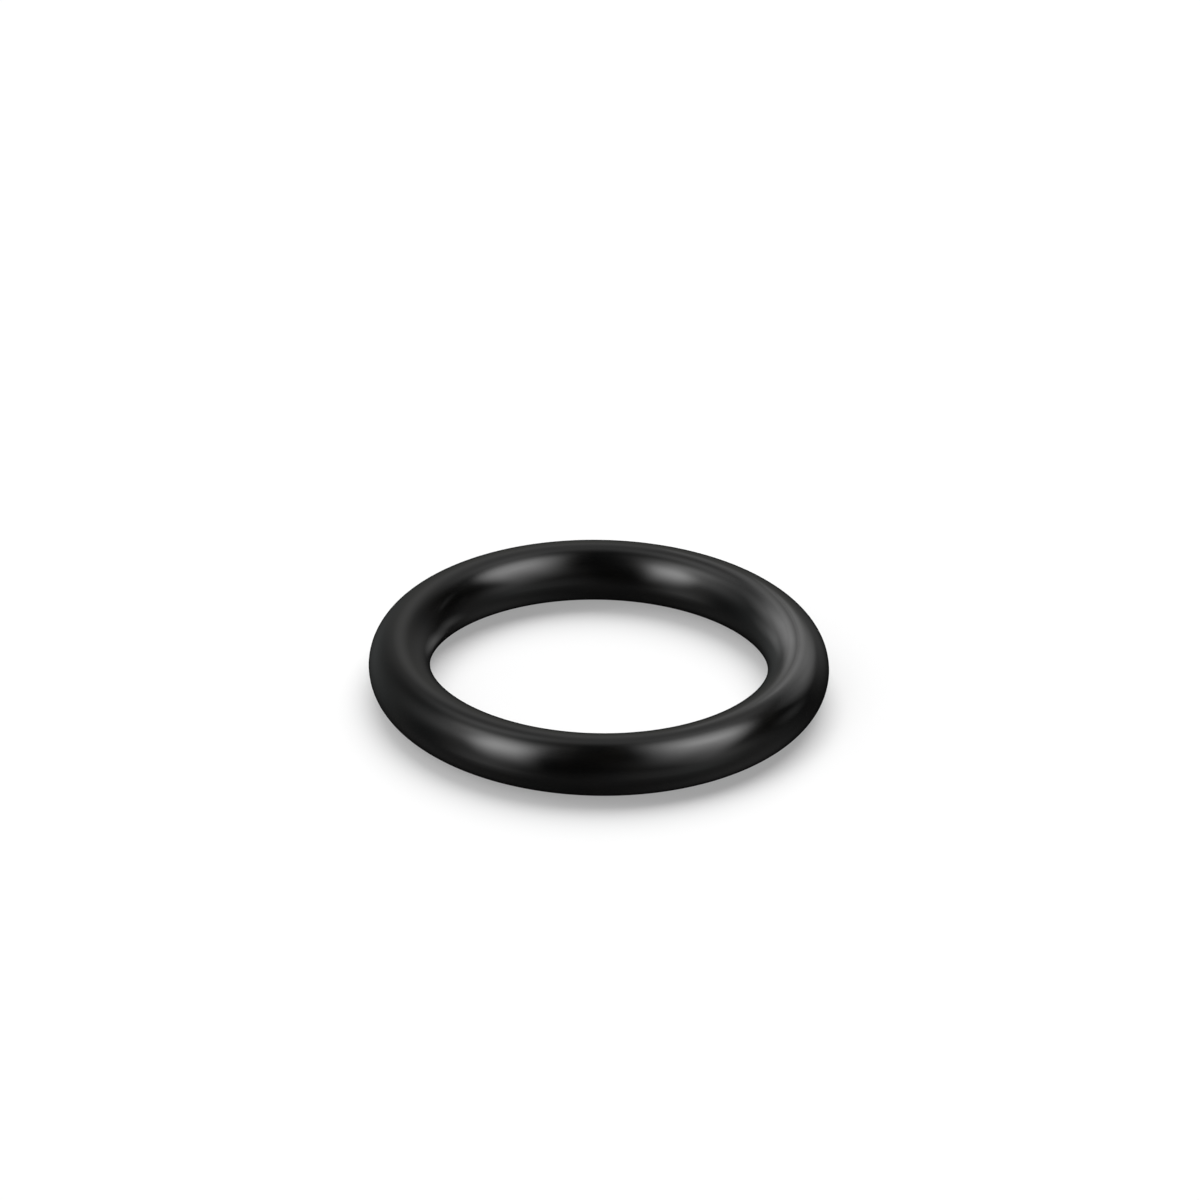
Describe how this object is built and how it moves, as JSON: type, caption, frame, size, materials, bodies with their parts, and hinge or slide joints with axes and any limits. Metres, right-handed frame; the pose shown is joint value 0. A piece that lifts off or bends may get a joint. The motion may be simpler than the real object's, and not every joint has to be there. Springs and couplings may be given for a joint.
{
  "type": "rubber o-ring",
  "caption": "Plain rubber sealing ring of round section, lying flat; it seals a shaft or a bore when squeezed in a groove.",
  "frame": {"origin": "centre of the ring, halfway up its section", "axes": "+Z along the ring's axis, upwards as it lies flat; +X and +Y are equal, because the ring is the same all round"},
  "size_m": [0.03, 0.03, 0.004],
  "materials": {
    "rubber": "satin"
  },
  "bodies": {
    "root": {"o_ring": "rubber"}
  },
  "joints": []
}
